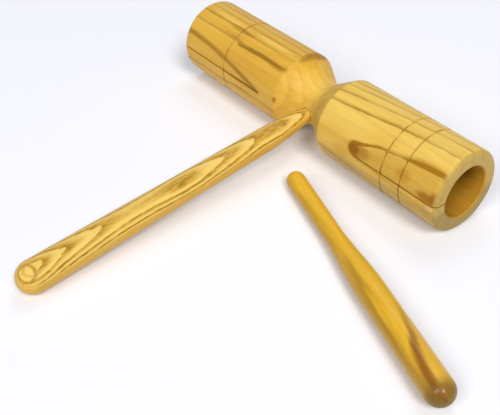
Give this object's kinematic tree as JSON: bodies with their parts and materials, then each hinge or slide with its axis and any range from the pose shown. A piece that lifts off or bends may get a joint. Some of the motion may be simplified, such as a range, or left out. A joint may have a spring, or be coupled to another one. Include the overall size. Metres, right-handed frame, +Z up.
{
  "type": "two tone wood block",
  "caption": "Two tone tubular wood block with slit hollow tubes joined by a turned waist, a turned handle fixed in the waist, and a loose wooden beater.",
  "frame": {"origin": "centre of the whole part's box, on the surface that it lies on", "axes": "+X along the block from the far tube to the near tube, the handle runs to -Y, +Z up"},
  "size_m": [0.2704, 0.2108, 0.0442],
  "materials": {
    "pale_ash": "clear satin varnish over pale ash with brown grain",
    "pale_ash_handle": "clear satin varnish over pale ash with brown grain",
    "honey_beech": "glossy honey varnish over beech"
  },
  "bodies": {
    "block": {"block_body": "pale_ash", "handle": "pale_ash_handle"},
    "beater": {"beater": "honey_beech"}
  },
  "joints": [
    {"name": "beater_lift", "type": "slide", "parent": "block", "child": "beater", "axis": [0, 0, 1], "range_m": [0, 0.12]}
  ]
}
